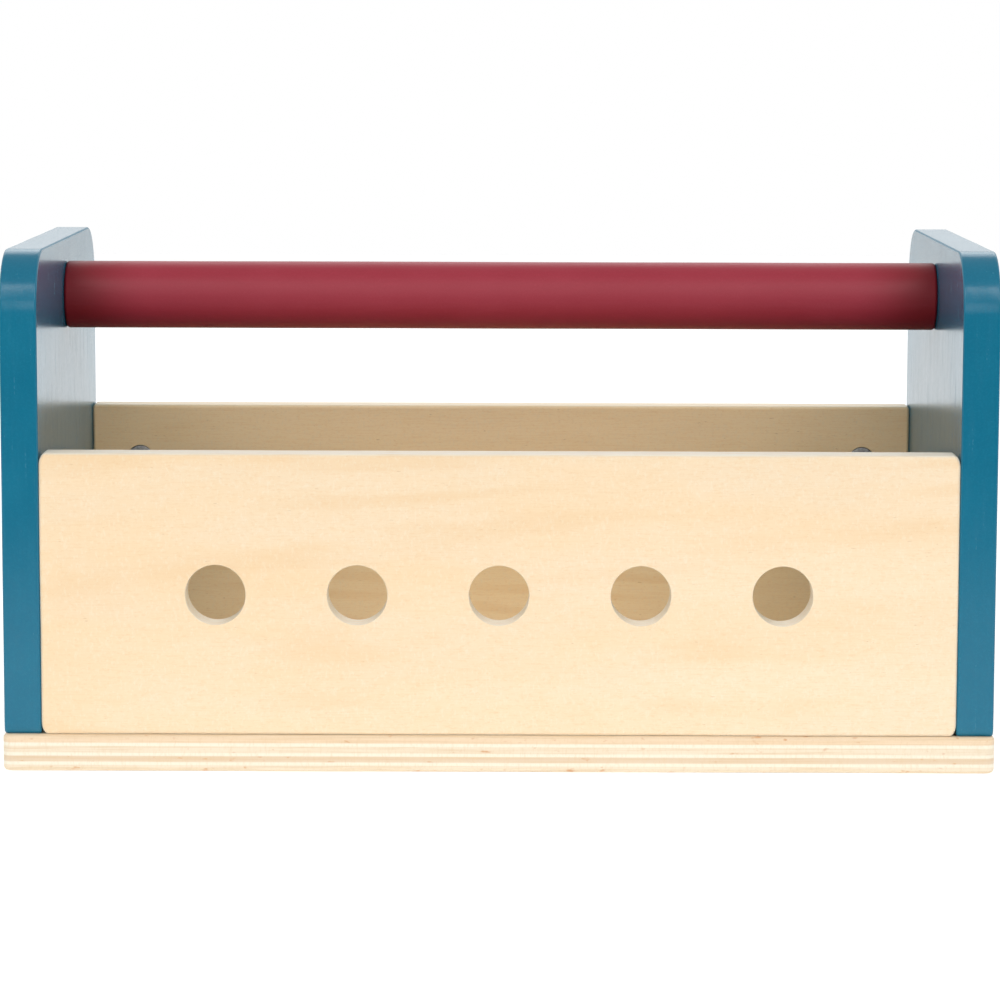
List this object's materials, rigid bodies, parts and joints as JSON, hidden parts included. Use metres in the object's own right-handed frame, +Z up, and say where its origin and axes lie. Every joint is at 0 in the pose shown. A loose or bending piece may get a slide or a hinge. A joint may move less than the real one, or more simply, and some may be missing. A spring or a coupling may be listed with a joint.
{
  "type": "carpenter toolbox",
  "caption": "Open wooden tote box with two tall side boards, low front and back panels, a round carrying handle and a row of round tool holes in the front.",
  "frame": {"origin": "on the ground, under the middle of the base", "axes": "+X along the handle to the right, +Y to the back, +Z up"},
  "size_m": [0.281, 0.151, 0.147],
  "materials": {
    "plywood": "bare birch plywood, sanded, layered edges",
    "petrol_lacquer": "petrol blue lacquer on wood, satin gloss",
    "dark_red_lacquer": "burgundy red lacquer on wood, satin gloss",
    "natural_wood": "pale wood, sanded and clear-coated, faint grain",
    "beech": "plain turned beech",
    "zinc_steel": "zinc-plated steel"
  },
  "bodies": {
    "root": {"base_plate": "plywood", "left_side": "petrol_lacquer", "right_side": "petrol_lacquer", "front_panel": "natural_wood", "back_panel": "natural_wood", "handle": "dark_red_lacquer", "barrel_nut_front_left": "zinc_steel", "barrel_nut_front_right": "zinc_steel", "barrel_nut_back_left": "zinc_steel", "barrel_nut_back_right": "zinc_steel", "connector_bolt_front_left": "zinc_steel", "connector_bolt_front_right": "zinc_steel", "connector_bolt_back_left": "zinc_steel", "connector_bolt_back_right": "zinc_steel", "dowel_pin_front_left": "beech", "dowel_pin_front_right": "beech", "dowel_pin_back_left": "beech", "dowel_pin_back_right": "beech", "handle_screw_left": "zinc_steel", "handle_screw_right": "zinc_steel", "base_screw_front_left": "zinc_steel", "base_screw_front_middle": "zinc_steel", "base_screw_front_right": "zinc_steel", "base_screw_back_left": "zinc_steel", "base_screw_back_middle": "zinc_steel", "base_screw_back_right": "zinc_steel", "base_screw_left_front": "zinc_steel", "base_screw_left_back": "zinc_steel", "base_screw_right_front": "zinc_steel", "base_screw_right_back": "zinc_steel"}
  },
  "joints": []
}
